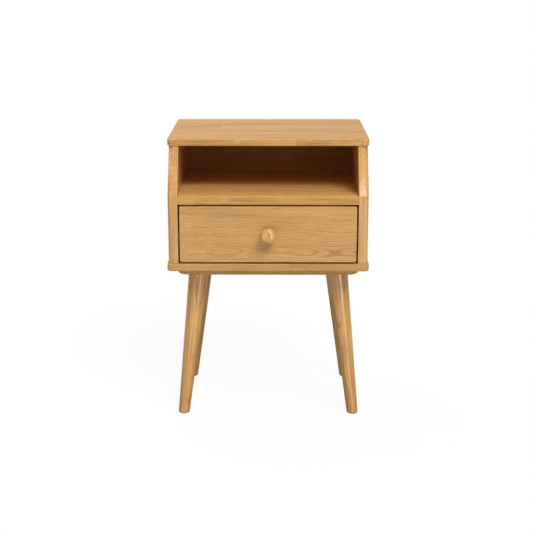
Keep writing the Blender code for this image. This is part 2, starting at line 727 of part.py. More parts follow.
def channel_shape(sign, member):
    """A C channel along the depth: web first, then two flanges that reach to open_x."""
    web_x, open_x, half_height = member
    inward = 1 if open_x > web_x else -1
    web_in = web_x + inward * SLIDE_SHEET
    outline = (
        (web_x, -half_height),
        (open_x, -half_height),
        (open_x, -half_height + SLIDE_SHEET),
        (web_in, -half_height + SLIDE_SHEET),
        (web_in, half_height - SLIDE_SHEET),
        (open_x, half_height - SLIDE_SHEET),
        (open_x, half_height),
        (web_x, half_height),
    )
    shape = bmesh.new()
    rings = []
    for y in (SLIDE_FRONT, SLIDE_FRONT + SLIDE_LENGTH):
        rings.append([shape.verts.new((sign * (INNER_HALF - x), y, SLIDE_MIDDLE + z)) for x, z in outline])
    join_rings(shape, rings)
    return shape


def add_slides(pieces, drawer_sides, mats):
    """Both three-member slides, with the screws of their fixed and drawer members."""
    shank = SLIDE_SCREW[0]
    stations = (
        ("front", SLIDE_FRONT + SLIDE_SCREW_INSET),
        ("rear", SLIDE_FRONT + SLIDE_LENGTH - SLIDE_SCREW_INSET),
    )
    for side, sign in (("left", -1), ("right", 1)):
        cabinet = add_object(
            f"{side}_slide_cabinet_member", channel_shape(sign, CABINET_MEMBER), mats["zinc"])
        add_object(f"{side}_slide_middle_member", channel_shape(sign, MIDDLE_MEMBER), mats["zinc"])
        runner = add_object(f"{side}_slide_drawer_member", channel_shape(sign, DRAWER_MEMBER), mats["zinc"])
        panel = pieces[f"{side}_side_panel"]
        drawer_side = drawer_sides[f"drawer_{side}_side"]
        cabinet_x = sign * (INNER_HALF - CABINET_MEMBER[0] - SLIDE_SHEET - FIT_GAP)
        runner_x = sign * (INNER_HALF - DRAWER_MEMBER[0] + SLIDE_SHEET + FIT_GAP)
        for station, y in stations:
            outward = (sign, 0, 0)
            head = (cabinet_x, y, SLIDE_MIDDLE)
            add_screw(f"{side}_{station}_cabinet_slide_screw",
                      pan_profile(SLIDE_SCREW, CABINET_SCREW_LENGTH),
                      head, outward, CABINET_SCREW_LENGTH, mats["zinc"])
            cut(cabinet, hole(shank, head, outward, CABINET_SCREW_LENGTH))
            cut(panel, hole(shank, head, outward, CABINET_SCREW_LENGTH))
            inward = (-sign, 0, 0)
            head = (runner_x, y, SLIDE_MIDDLE)
            add_screw(f"{side}_{station}_drawer_slide_screw",
                      pan_profile(SLIDE_SCREW, RUNNER_SCREW_LENGTH),
                      head, inward, RUNNER_SCREW_LENGTH, mats["zinc"])
            cut(runner, hole(shank, head, inward, RUNNER_SCREW_LENGTH))
            cut(drawer_side, hole(shank, head, inward, RUNNER_SCREW_LENGTH))


def add_motion_parents():
    """Empties on the slide axes: the drawer's pieces and each middle member hang from their own."""
    groups = {
        "drawer_motion": ("drawer_front", "drawer_box_front", "drawer_left_side", "drawer_right_side",
                          "drawer_back", "drawer_bottom", "drawer_knob", "knob_screw",
                          "drawer_front_left_screw", "drawer_front_right_screw",
                          "left_slide_drawer_member", "right_slide_drawer_member",
                          "left_front_drawer_slide_screw", "left_rear_drawer_slide_screw",
                          "right_front_drawer_slide_screw", "right_rear_drawer_slide_screw"),
        "left_slide_motion": ("left_slide_middle_member",),
        "right_slide_motion": ("right_slide_middle_member",),
    }
    middle = INNER_HALF - SLIDE_SPACE / 2
    places = {"drawer_motion": 0.0, "left_slide_motion": -middle, "right_slide_motion": middle}
    for name, members in groups.items():
        parent = bpy.data.objects.new(name, None)
        parent.location = (places[name], SLIDE_FRONT, SLIDE_MIDDLE)
        bpy.context.collection.objects.link(parent)
        bpy.context.view_layer.update()
        for member in members:
            item = bpy.data.objects[member]
            item.parent = parent
            item.matrix_parent_inverse = parent.matrix_world.inverted()


def main():
    clear_scene()
    mats = case_materials()
    pieces = add_case(mats)
    add_top_dowels(pieces, mats)
    add_shelf_dowels(pieces, mats)
    add_base_screws(pieces, mats)
    plate = add_legs(mats)
    add_plate_screws(pieces, plate, mats)
    drawer_sides = add_drawer(mats)
    add_slides(pieces, drawer_sides, mats)
    add_motion_parents()


main()
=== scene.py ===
"""The nightstand's looks: solid-wood materials, finely turned pieces, studio light and the camera."""
import math

import bmesh
import bpy
from mathutils import Euler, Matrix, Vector


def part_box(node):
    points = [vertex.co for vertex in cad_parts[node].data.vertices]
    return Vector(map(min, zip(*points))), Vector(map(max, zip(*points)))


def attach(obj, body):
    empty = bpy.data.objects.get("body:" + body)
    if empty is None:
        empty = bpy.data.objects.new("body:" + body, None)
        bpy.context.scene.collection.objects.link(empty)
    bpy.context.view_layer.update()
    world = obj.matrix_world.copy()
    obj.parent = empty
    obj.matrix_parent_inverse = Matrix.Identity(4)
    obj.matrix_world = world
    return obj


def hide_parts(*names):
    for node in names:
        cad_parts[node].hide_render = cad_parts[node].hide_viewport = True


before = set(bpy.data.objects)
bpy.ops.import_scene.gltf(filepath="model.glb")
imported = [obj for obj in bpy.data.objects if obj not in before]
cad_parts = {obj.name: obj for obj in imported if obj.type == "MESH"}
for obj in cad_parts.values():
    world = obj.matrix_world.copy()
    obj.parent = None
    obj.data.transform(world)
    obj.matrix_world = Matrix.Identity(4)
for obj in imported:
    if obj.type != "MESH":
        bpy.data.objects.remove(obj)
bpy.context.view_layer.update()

X = Vector((1, 0, 0))
Y = Vector((0, 1, 0))
Z = Vector((0, 0, 1))
WHITE = (1, 1, 1, 1)

# Linear colours. The oak is under a clear satin lacquer.
OAK_LIGHT = (0.730, 0.412, 0.140, 1)
OAK_DARK = (0.460, 0.210, 0.052, 1)
OAK_PORE = (0.250, 0.096, 0.026, 1)
OAK_FLECK = (0.800, 0.500, 0.210, 1)
OAK_WARM = (0.690, 0.340, 0.090, 1)
BIRCH_LIGHT = (0.800, 0.630, 0.405, 1)
BIRCH_DARK = (0.640, 0.455, 0.255, 1)
BIRCH_CROSS_PLY = (0.500, 0.330, 0.170, 1)
BIRCH_SEAM = (0.200, 0.110, 0.055, 1)
BEECH_LIGHT = (0.62, 0.42, 0.24, 1)
BEECH_DARK = (0.46, 0.28, 0.15, 1)
ZINC_LIGHT = (0.58, 0.59, 0.61, 1)
ZINC_DARK = (0.44, 0.46, 0.49, 1)
FLOOR_SEEN = (0.085, 0.085, 0.085, 1)

# Finishes.
LACQUER_ROUGHNESS = 0.16
WOOD_SHINE = 0.2             # the bare wood's own gloss, as a share of the lacquer's
PLY_THICKNESS = 0.0015
# The slides' darker zinc is painted shade: it keeps the gaps beside the drawer dark, with no glint
# from the slides.
SLIDE_GAP_SHADE = 0.40           # how much darker the slides' zinc is than the screws'

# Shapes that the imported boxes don't give, as the part has them.
SLAB_CORNER_RADIUS = 0.010
SLAB_EDGE_RADIUS = 0.0022
DRAWER_CORNER_RADIUS = 0.0045
SIDE_OUTER_RADIUS = 0.008
EASED_EDGE = 0.0012
REAR_EDGE_RADIUS = 0.002
LEG_TOP_RADIUS = 0.0225
LEG_FOOT_RADIUS = 0.0122
FOOT_ROUNDING = 0.004
BOLT_BORE_RADIUS = 0.0043
KNOB_BORE_RADIUS = 0.0023

# The knob's outline: shares of its radius or length, then distances from the drawer front.
KNOB_COLLAR_SHARE = 0.60
KNOB_NECK_SHARE = 0.42
KNOB_WIDEST_SHARE = 0.62
KNOB_TIP_SHARE = 0.02
KNOB_DOME_POWER = 0.8
KNOB_COLLAR_END = 0.0012
KNOB_NECK_START = 0.0032
KNOB_NECK_END = 0.005

# Room left round the things that sit in a piece.
FASTENER_ROOM = 0.0006
BOLT_END_ROOM = 0.0003
KNOB_SCREW_END_ROOM = 0.0004

SAME_PLACE = 1e-5
SHORTEST_UPRIGHT = 0.02
SHARP_ANGLE = math.radians(40)
ROUND_SIDES = 72

# Lights. A sun has the direction it comes from, its strength and its angle across in degrees.
KEY_SUN = ((0.45, -0.90, 1.17), 2.02, 28)
BACK_SUN = ((-0.35, 0.55, 1.0), 1.15, 70)
STRIP_PLACE = (0.877, -1.798, 0.75)
STRIP_SIZE = (0.30, 4.2)
LEFT_STRIP_STRENGTH = 46.0
RIGHT_STRIP_STRENGTH = 80.0
FILL_SIDE = 0.25
FILL_DISTANCE = 1.05
FILL_HEIGHT = 0.18
FILL_AIM_HEIGHT = 0.306
FILL_SIZE = (2.0, 0.30)
FILL_STRENGTH = 2.3

# Camera: its place is given from the middle of the base's front edge and from the floor.
SENSOR_WIDTH = 36.0
LENS = 80.48
CAMERA_SIDE = 0.0122
CAMERA_DISTANCE = 2.4500
CAMERA_HEIGHT = 1.0084
CAMERA_PITCH = math.radians(14.93)
CAMERA_YAW = math.radians(0.363)


class Graph:
    """The node tree of a material or a world, built with short calls."""

    def __init__(self, owner):
        owner.use_nodes = True
        self.owner = owner
        self.tree = owner.node_tree
        self.shader = self.tree.nodes.get("Principled BSDF")

    def feed(self, socket, value):
        """Link a socket to another, or set its constant."""
        if isinstance(value, bpy.types.NodeSocket):
            self.tree.links.new(value, socket)
        else:
            socket.default_value = value

    def node(self, kind, inputs, **settings):
        """Add a node, set its options and feed its inputs by name or number."""
        made = self.tree.nodes.new(kind)
        for key, value in settings.items():
            setattr(made, key, value)
        for key, value in inputs.items():
            self.feed(made.inputs[key], value)
        return made

    def coordinates(self, kind):
        """Object or generated coordinates."""
        return self.node("ShaderNodeTexCoord", {}).outputs[kind]

    def math(self, operation, first, second=0.0, clamp=False):
        """One sum on two numbers."""
        inputs = {0: first, 1: second}
        return self.node("ShaderNodeMath", inputs, operation=operation, use_clamp=clamp).outputs[0]

    def product(self, first, second, clamp=False):
        """Two numbers multiplied."""
        return self.math("MULTIPLY", first, second, clamp)

    def total(self, start, *terms):
        """Add up values, each times its own weight."""
        for value, weight in terms:
            start = self.node("ShaderNodeMath", {0: value, 1: weight, 2: start},
                              operation="MULTIPLY_ADD").outputs[0]
        return start

    def vector(self, operation, first, second=(0, 0, 0)):
        """One sum on two vectors."""
        made = self.node("ShaderNodeVectorMath", {0: first, 1: second}, operation=operation)
        return made.outputs["Value" if operation in ("LENGTH", "DOT_PRODUCT") else "Vector"]

    def step(self, value, low, high, to_low=0.0, to_high=1.0):
        """A smooth step of value between low and high."""
        inputs = {"Value": value, "From Min": low, "From Max": high,
                  "To Min": to_low, "To Max": to_high}
        made = self.node("ShaderNodeMapRange", inputs, interpolation_type="SMOOTHSTEP")
        return made.outputs["Result"]

    def noise(self, place, stretch, detail=2.0, roughness=0.5, distortion=0.0):
        """Smooth noise whose waves per metre along each axis are given by stretch."""
        scaled = self.vector("MULTIPLY", place, stretch)
        inputs = {"Vector": scaled, "Scale": 1.0, "Detail": detail, "Roughness": roughness,
                  "Distortion": distortion}
        return self.node("ShaderNodeTexNoise", inputs).outputs["Fac"]

    def chance(self, *numbers):
        """Random value and colour for a cell given by up to three whole numbers."""
        cell = self.node("ShaderNodeCombineXYZ", dict(enumerate(numbers))).outputs[0]
        made = self.node("ShaderNodeTexWhiteNoise", {"Vector": cell}, noise_dimensions="3D")
        return made.outputs["Value"], made.outputs["Color"]

    def split(self, vector):
        """A vector's three numbers."""
        return self.node("ShaderNodeSeparateXYZ", {0: vector}).outputs

    def join(self, x, y, z):
        """Three numbers as a vector."""
        return self.node("ShaderNodeCombineXYZ", {0: x, 1: y, 2: z}).outputs[0]

    def grey(self, value):
        """A number as a grey."""
        return self.node("ShaderNodeCombineColor", {0: value, 1: value, 2: value}).outputs[0]

    def blend(self, factor, first, second, kind="MIX"):
        """Mix two colours."""
        made = self.tree.nodes.new("ShaderNodeMix")
        made.data_type = "RGBA"
        made.blend_type = kind
        self.feed(made.inputs["Factor"], factor)
        self.feed(made.inputs[6], first)
        self.feed(made.inputs[7], second)
        return made.outputs[2]

    def surface(self, colour, roughness, height, depth, strength=1.0):
        """Feed the shader's colour, roughness and bump."""
        self.feed(self.shader.inputs["Base Color"], colour)
        self.feed(self.shader.inputs["Roughness"], roughness)
        inputs = {"Height": height, "Strength": strength, "Distance": depth}
        bump = self.node("ShaderNodeBump", inputs).outputs["Normal"]
        self.feed(self.shader.inputs["Normal"], bump)
        return self.owner

    def camera_choice(self, lit, seen, output):
        """Let the camera see one shader, and all other rays meet another."""
        path = self.node("ShaderNodeLightPath", {}).outputs["Is Camera Ray"]
        mix = self.node("ShaderNodeMixShader", {0: path, 1: lit, 2: seen}).outputs[0]
        self.feed(self.tree.nodes[output].inputs["Surface"], mix)


def new_material(name):
    """A material's node tree, ready to build."""
    return Graph(bpy.data.materials.new(name))


def grain_space(g, along, origin):
    """Object space turned so that the grain runs along X, with the tree's pith on the X axis."""
    turn = along.rotation_difference(X).to_matrix()
    return g.node("ShaderNodeMapping", {
        "Vector": g.coordinates("Object"), "Location": -(turn @ Vector(origin)),
        "Rotation": turn.to_euler("XYZ")}).outputs["Vector"]


def glue_up(g, place, width, length, tone):
    """Cut the grain into glued staves, each from another part of the tree and its own shade."""
    along, across, _ = g.split(place)
    row = g.math("FLOOR", g.math("DIVIDE", across, width))
    offset, _ = g.chance(row, 3.0, 0.0)
    run = g.math("ADD", g.math("DIVIDE", along, length), g.product(offset, 5.0))
    luck, spread = g.chance(row, g.math("FLOOR", run), 1.0)
    shade = g.total(tone - 0.03, (luck, 0.06))
    return g.vector("ADD", place, g.vector("MULTIPLY", spread, (3.0, 0.05, 0.05))), shade


def growth_rings(g, place, ring, lean, sway):
    """Dark lines of large pores, one for each year, with uneven strength."""
    bend = g.noise(place, (4.5, 3.0, 3.0), 2.0, 0.45)
    ripple = g.noise(place, (13.0, 60.0, 60.0), 2.0, 0.5)
    length, depth, height = g.split(place)
    depth = g.total(depth, (bend, sway), (0.5, -sway))
    radius = g.vector("LENGTH", g.join(0.0, depth, height))
    radius = g.total(radius, (length, lean), (ripple, 0.006))
    year = g.math("DIVIDE", radius, ring)
    season = g.math("FRACT", year)
    luck, _ = g.chance(g.math("FLOOR", year), 0.0, 0.0)
    early = g.product(g.step(season, 0.0, 0.10), g.step(season, 0.14, 0.62, 1.0, 0.0))
    early = g.product(early, g.step(luck, 0.0, 1.0, 0.50, 1.10))
    fade = g.noise(place, (9.0, 40.0, 40.0), 2.0)
    return g.product(early, g.step(fade, 0.32, 0.62, 0.30, 1.0))


def oak(name, along, pith, ring=0.0048, lean=0.03, sway=0.09, tone=1.0, seed=0.0, staves=None,
        lines=0.55, streaks=0.42, bands=0.26, gloss=0.36):
    """Ring-porous oak, cut from a log whose pith runs along the grain through the given point.

    The growth rings are one solid pattern, so a face shows straight grain, cathedrals or end
    grain according to how it lies in the log.
    """
    g = new_material("oak_" + name)
    place = grain_space(g, along, pith)
    shade = tone
    if staves:
        place, shade = glue_up(g, place, *staves, tone)
    place = g.vector("ADD", place, (seed * 1.7, 0.0, 0.0))

    early = growth_rings(g, place, ring, lean, sway)
    streak = g.step(g.noise(place, (7.0, 300.0, 300.0), 3.0, 0.62), 0.33, 0.67)
    band = g.step(g.noise(place, (2.6, 48.0, 48.0), 2.0, 0.5), 0.30, 0.70)
    fibre = g.noise(place, (34.0, 1500.0, 1500.0), 2.0, 0.6)
    pore = g.step(g.noise(place, (45.0, 1100.0, 1100.0), 1.0, 0.4), 0.57, 0.68)
    pore = g.product(pore, g.total(0.25, (early, 0.9)), clamp=True)

    dark = g.total(-0.13, (early, lines), (streak, streaks), (band, bands), (fibre, 0.10))
    colour = g.blend(g.math("ADD", dark, 0.0, clamp=True), OAK_LIGHT, OAK_DARK)
    colour = g.blend(g.product(pore, 0.62), colour, OAK_PORE)
    fleck = g.step(g.noise(place, (28.0, 420.0, 70.0), 1.0), 0.64, 0.74)
    colour = g.blend(g.product(fleck, 0.30), colour, OAK_FLECK)
    hue = g.noise(place, (1.9, 16.0, 16.0), 1.0)
    colour = g.blend(g.step(hue, 0.35, 0.70, 0.0, 0.18), colour, OAK_WARM)
    colour = g.blend(1.0, colour, g.grey(shade), "MULTIPLY")

    roughness = g.total(0.37, (pore, 0.24), (streak, 0.07), (early, 0.05))
    relief = g.total(0.0, (fibre, 0.25), (pore, -1.0), (early, -0.25))
    g.shader.inputs["Specular IOR Level"].default_value = WOOD_SHINE * gloss
    g.shader.inputs["Coat Weight"].default_value = gloss
    g.shader.inputs["Coat Roughness"].default_value = LACQUER_ROUGHNESS
    return g.surface(colour, roughness, relief, 0.00025, 0.8)


def plywood(name, along, across, first_face):
    """Birch plywood: plain veneer faces, and stripes of crossed plies along its edges."""
    g = new_material("birch_" + name)
    depth = g.math("SUBTRACT", g.vector("DOT_PRODUCT", g.coordinates("Object"), across), first_face)
    ply = g.math("DIVIDE", depth, PLY_THICKNESS)
    odd = g.math("MODULO", g.math("ABSOLUTE", g.math("FLOOR", ply)), 2.0)
    from_middle = g.math("ABSOLUTE", g.math("SUBTRACT", g.math("FRACT", ply), 0.5))
    seam = g.step(from_middle, 0.42, 0.5)
    place = grain_space(g, along, (first_face, 0.03, -0.04))
    veneer = g.step(g.noise(place, (2.4, 34.0, 34.0), 3.0, 0.55, 0.8), 0.30, 0.70)
    rings = g.math("FRACT", g.noise(place, (1.1, 7.0, 7.0), 1.0, 0.4))
    fine = g.noise(place, (18.0, 800.0, 800.0), 2.0, 0.6)
    share = g.total(0.0, (veneer, 0.45), (fine, 0.40), (rings, 0.15))
    colour = g.blend(share, BIRCH_LIGHT, BIRCH_DARK)
    colour = g.blend(g.product(odd, 0.50), colour, BIRCH_CROSS_PLY)
    colour = g.blend(g.product(seam, 0.55), colour, BIRCH_SEAM)
    relief = g.total(0.0, (fine, 0.6), (seam, -0.3))
    return g.surface(colour, g.total(0.46, (fine, 0.14)), relief, 0.0002, 0.5)


def beech(name, along):
    """Plain turned beech for the dowels."""
    g = new_material("beech_" + name)
    place = grain_space(g, along, (0.01, 0.02, 0.03))
    fine = g.noise(place, (60.0, 1400.0, 1400.0), 3.0, 0.6)
    colour = g.blend(fine, BEECH_LIGHT, BEECH_DARK)
    return g.surface(colour, g.total(0.50, (fine, 0.12)), fine, 0.0002, 0.4)


def zinc(name, shade=1.0):
    """Zinc plate: faint crystals, cloudy gloss and fine scratches along the channel."""
    g = new_material(name)
    place = g.coordinates("Object")
    crystals = g.node("ShaderNodeTexVoronoi", {"Vector": place, "Scale": 300.0}).outputs["Color"]
    cloud = g.noise(place, (60.0, 60.0, 60.0), 3.0)
    scratch = g.noise(place, (900.0, 14.0, 900.0), 2.0, 0.6)
    colour = g.blend(cloud, ZINC_LIGHT, ZINC_DARK)
    colour = g.blend(0.10, colour, crystals, "OVERLAY")
    # A shade below one darkens the plate; on the slides this is painted shade for the gaps beside the
    # drawer.
    colour = g.blend(1.0, colour, (shade, shade, shade, 1), "MULTIPLY")
    g.shader.inputs["Metallic"].default_value = 1.0
    roughness = g.total(0.24, (cloud, 0.16), (scratch, 0.14))
    return g.surface(colour, roughness, scratch, 0.00006, 0.5)


def dress(node, material):
    """Give a CAD node its material."""
    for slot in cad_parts[node].material_slots:
        slot.material = material


def middle(node):
    """The middle of a CAD node's box."""
    low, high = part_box(node)
    return (low + high) / 2


def case_woods():
    """Oak for the case: level grain on the top, shelf and base, upright grain on the sides."""
    woods = {}
    low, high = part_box("top_panel")
    woods["top_panel"] = oak(
        "top", X, (0, low.y - 0.12, high.z - 0.30), ring=0.0044, sway=0.05, tone=1.07, seed=1.3,
        staves=(0.048, 0.33), lines=0.45, bands=0.50, gloss=0.44)
    low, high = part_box("base_panel")
    woods["base_panel"] = oak(
        "base", X, (0, low.y - 0.10, low.z + 0.22), ring=0.0042, sway=0.05, tone=0.87, seed=2.1,
        staves=(0.060, 0.50), lines=0.40, gloss=0.22)
    low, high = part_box("middle_shelf")
    woods["middle_shelf"] = oak(
        "shelf", X, (0, low.y - 0.08, low.z - 0.26), ring=0.0042, sway=0.05, tone=0.93, seed=3.7,
        staves=(0.055, 0.90), lines=0.40, gloss=0.08)
    for name, sign, seed, tone in (("left_side_panel", -1, 4.2, 0.97),
                                   ("right_side_panel", 1, 5.9, 0.99)):
        centre = middle(name)
        woods[name] = oak(
            name, Z, (centre.x + sign * 0.30, centre.y - 0.10, 0.2), ring=0.0046, sway=0.06,
            tone=tone, seed=seed, staves=(0.062, 0.60), lines=0.50, bands=0.36, gloss=0.46)
    centre = middle("back_panel")
    # The back panel's oak is toned far down as painted shade, so the compartment behind the shelf
    # reads as deep in shadow.
    woods["back_panel"] = oak(
        "back_panel", X, (0, centre.y + 0.05, centre.z - 0.03), ring=0.0060, lean=0.06,
        tone=0.61, seed=6.4, lines=0.24, gloss=0.05)
    low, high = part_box("leg_mounting_plate")
    woods["leg_mounting_plate"] = oak(
        "plate", X, (0, low.y - 0.1, low.z + 0.2), ring=0.0042, sway=0.05, tone=0.90, seed=7.7,
        staves=(0.070, 0.55), lines=0.40, gloss=0.12)
    return woods


def add_piece(name, shape, material, body):
    """Put a finely made piece in the place of the CAD node that it is named after."""
    bmesh.ops.recalc_face_normals(shape, faces=shape.faces)
    mesh = bpy.data.meshes.new(name + "_fine")
    shape.to_mesh(mesh)
    shape.free()
    mesh.materials.append(material)
    mesh.shade_smooth()
    mesh.set_sharp_from_angle(angle=SHARP_ANGLE)
    piece = bpy.data.objects.new(name + "_fine", mesh)
    bpy.context.collection.objects.link(piece)
    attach(piece, body)
    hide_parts(name)
    return piece


def even_normals(piece):
    """Keep broad flat faces flat in the shading, beside rounded rims."""
    piece.modifiers.new("even_normals", "WEIGHTED_NORMAL").keep_sharp = True


def swollen_nodes(names):
    """One mesh of the given CAD nodes, each grown by the room that is left round it."""
    rooms = bmesh.new()
    for name in names:
        room = bmesh.new()
        room.from_mesh(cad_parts[name].data)
        bmesh.ops.remove_doubles(room, verts=room.verts, dist=1e-6)
        bmesh.ops.recalc_face_normals(room, faces=room.faces)
        room.normal_update()
        for vert in room.verts:
            vert.co += vert.normal * FASTENER_ROOM
        mesh = bpy.data.meshes.new("room")
        room.to_mesh(mesh)
        room.free()
        rooms.from_mesh(mesh)
        bpy.data.meshes.remove(mesh)
    mesh = bpy.data.meshes.new("rooms")
    rooms.to_mesh(mesh)
    rooms.free()
    return mesh


def cut_rooms(piece, names):
    """Cut room for the given CAD nodes out of a piece."""
    tool = bpy.data.objects.new("rooms", swollen_nodes(names))
    bpy.context.collection.objects.link(tool)
    modifier = piece.modifiers.new("rooms", "BOOLEAN")
    modifier.operation = "DIFFERENCE"
    modifier.solver = "EXACT"
    modifier.object = tool
    bpy.context.view_layer.update()
    evaluated = piece.evaluated_get(bpy.context.evaluated_depsgraph_get())
    cut = bpy.data.meshes.new_from_object(evaluated)
    piece.modifiers.clear()
    piece.data = cut
    bpy.data.objects.remove(tool, do_unlink=True)
    cut.shade_smooth()
    cut.set_sharp_from_angle(angle=SHARP_ANGLE)
    even_normals(piece)


def ring_at(shape, x, y, z, radius):
    """A level ring of vertices."""
    angles = [2 * math.pi * side / ROUND_SIDES for side in range(ROUND_SIDES)]
    return [shape.verts.new((x + radius * math.cos(angle), y + radius * math.sin(angle), z))
            for angle in angles]


def skin(shape, rings):
    """Join a stack of rings, and close both ends."""
    count = len(rings[0])
    for lower, upper in zip(rings, rings[1:]):
        for index in range(count):
            after = (index + 1) % count
            shape.faces.new((lower[index], lower[after], upper[after], upper[index]))
    shape.faces.new(list(reversed(rings[0])))
    shape.faces.new(rings[-1])
    return shape


def point_forward(shape, place):
    """Turn a shape made about +Z to face the front, and move it into place."""
    turn = Z.rotation_difference(-Y).to_matrix()
    bmesh.ops.rotate(shape, verts=shape.verts, cent=(0, 0, 0), matrix=turn)
    bmesh.ops.translate(shape, verts=shape.verts, vec=Vector(place))
    return shape


def slab(half_x, half_y, half_z, corner, rim, steps=14, rim_steps=6):
    """A flat slab about the origin, with round plan corners and rounded rims."""
    shape = bmesh.new()
    levels = []
    for step in range(rim_steps + 1):
        angle = step / rim_steps * math.pi / 2
        levels.append((-half_z + rim * (1 - math.cos(angle)), rim * (1 - math.sin(angle))))
    levels += [(-z, inset) for z, inset in reversed(levels)]
    rings = []
    for z, inset in levels:
        radius = corner - inset
        ring = []
        for quarter, (sign_x, sign_y) in enumerate(((1, 1), (-1, 1), (-1, -1), (1, -1))):
            for step in range(steps + 1):
                angle = (quarter + step / steps) * math.pi / 2
                ring.append(shape.verts.new((sign_x * (half_x - corner) + radius * math.cos(angle),
                                             sign_y * (half_y - corner) + radius * math.sin(angle),
                                             z)))
        rings.append(ring)
    return skin(shape, rings)


def add_slabs(woods):
    """Top and base panels with finely rounded corners and rims."""
    for name, held in (("top_panel", "top_dowel"), ("base_panel", ("base_screw", "plate_screw"))):
        low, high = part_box(name)
        size = (high - low) / 2
        shape = slab(size.x, size.y, size.z, SLAB_CORNER_RADIUS, SLAB_EDGE_RADIUS)
        bmesh.ops.translate(shape, verts=shape.verts, vec=(low + high) / 2)
        piece = add_piece(name, shape, woods[name], "case")
        cut_rooms(piece, [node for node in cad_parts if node.endswith(held)])


def long_edges(shape, test):
    """The board's edges that run up it along one face, where both ends pass a test."""
    chosen = []
    for edge in shape.edges:
        first, second = (vert.co for vert in edge.verts)
        in_one_face = abs(first.x - second.x) < SAME_PLACE
        rises = abs(first.z - second.z) > SHORTEST_UPRIGHT
        if in_one_face and rises and test(first) and test(second):
            chosen.append(edge)
    return chosen


def side_shape(name):
    """A side panel's five-sided board with a broad rounded outer front edge."""
    low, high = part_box(name)
    inner_x, outer_x = (low.x, high.x) if low.x > 0 else (high.x, low.x)
    slant_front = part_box("top_panel")[0].y + low.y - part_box("base_panel")[0].y
    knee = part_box("middle_shelf")[1].z
    outline = ((low.y, low.z), (high.y, low.z), (high.y, high.z), (slant_front, high.z),
               (low.y, knee))
    shape = bmesh.new()
    skin(shape, [[shape.verts.new((x, y, z)) for y, z in outline] for x in (inner_x, outer_x)])

    def at_front(place, face_x):
        return place.y < slant_front + SAME_PLACE and abs(place.x - face_x) < SAME_PLACE

    for test, width, segments in (
            (lambda place: at_front(place, outer_x), SIDE_OUTER_RADIUS, 16),
            (lambda place: at_front(place, inner_x), EASED_EDGE, 5),
            (lambda place: place.y > high.y - SAME_PLACE, REAR_EDGE_RADIUS, 6)):
        bmesh.ops.bevel(shape, geom=long_edges(shape, test), offset=width, offset_type="OFFSET",
                        segments=segments, profile=0.5, affect="EDGES", clamp_overlap=True)
    return shape


def add_sides(woods):
    """Side panels with finely rounded front edges, grooved for the back panel."""
    held = ("top_dowel", "shelf_dowel", "base_screw", "cabinet_slide_screw")
    for side in ("left", "right"):
        name = side + "_side_panel"
        piece = add_piece(name, side_shape(name), woods[name], "case")
        fasteners = [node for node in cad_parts
                     if node.startswith(side) and node.endswith(held)]
        cut_rooms(piece, fasteners + ["back_panel"])


def leg_line(name):
    """Top centre and foot centre of a leg, from its box and its two radii."""
    low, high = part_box(name)
    side = -1 if low.x + high.x < 0 else 1
    end = -1 if low.y + high.y < 0 else 1
    outer_x, inner_x = (high.x, low.x) if side > 0 else (low.x, high.x)
    outer_y, inner_y = (high.y, low.y) if end > 0 else (low.y, high.y)
    foot = Vector((outer_x - side * LEG_FOOT_RADIUS, outer_y - end * LEG_FOOT_RADIUS, low.z))
    top = Vector((inner_x + side * LEG_TOP_RADIUS, inner_y + end * LEG_TOP_RADIUS, high.z))
    return top, foot


def leg_shape(top, foot, bolt_low, foot_steps=8, body_steps=24):
    """A round tapered leg, bored from above for its bolt, with a rounded foot."""
    shape = bmesh.new()
    stations = []
    for step in range(foot_steps + 1):
        angle = step / foot_steps * math.pi / 2
        stations.append((FOOT_ROUNDING * (1 - math.cos(angle)),
                         FOOT_ROUNDING * (1 - math.sin(angle))))
    for step in range(1, body_steps + 1):
        stations.append((FOOT_ROUNDING + (top.z - FOOT_ROUNDING) * step / body_steps, 0.0))
    rings = []
    for z, inset in stations:
        share = z / top.z
        centre = foot.lerp(top, share)
        radius = LEG_FOOT_RADIUS + (LEG_TOP_RADIUS - LEG_FOOT_RADIUS) * share - inset
        rings.append(ring_at(shape, centre.x, centre.y, z, radius))
    for z in (top.z, bolt_low):
        rings.append(ring_at(shape, top.x, top.y, z, BOLT_BORE_RADIUS))
    return skin(shape, rings)


def add_legs():
    """Smooth turned legs, whose grain follows each one's own lean."""
    legs = ("front_left_leg", "front_right_leg", "rear_left_leg", "rear_right_leg")
    for index, name in enumerate(legs):
        top, foot = leg_line(name)
        centre = (top + foot) / 2
        wood = oak(
            name, (top - foot).normalized(), (centre.x * 1.12, centre.y + 0.045, centre.z),
            ring=0.0040, lean=0.01, sway=0.02, tone=1.02, seed=8.0 + index * 1.31,
            streaks=0.55, bands=0.36, gloss=0.50)
        bolt_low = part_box(name.replace("leg", "hanger_bolt"))[0].z - BOLT_END_ROOM
        add_piece(name, leg_shape(top, foot, bolt_low), wood, "case")


def add_drawer_front():
    """A flat-sawn drawer front with cathedrals low down."""
    low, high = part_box("drawer_front")
    size = (high - low) / 2
    wood = oak(
        "drawer_front", X, (0, low.y + 0.013, low.z + 0.024), ring=0.0038, sway=0.055,
        tone=0.92, seed=0.6, lines=0.70, streaks=0.33)
    shape = slab(size.x, size.z, size.y, DRAWER_CORNER_RADIUS, EASED_EDGE, 10, 5)
    shape = point_forward(shape, (low + high) / 2)
    front = add_piece("drawer_front", shape, wood, "drawer")
    cut_rooms(front, ("knob_screw", "drawer_front_left_screw", "drawer_front_right_screw"))


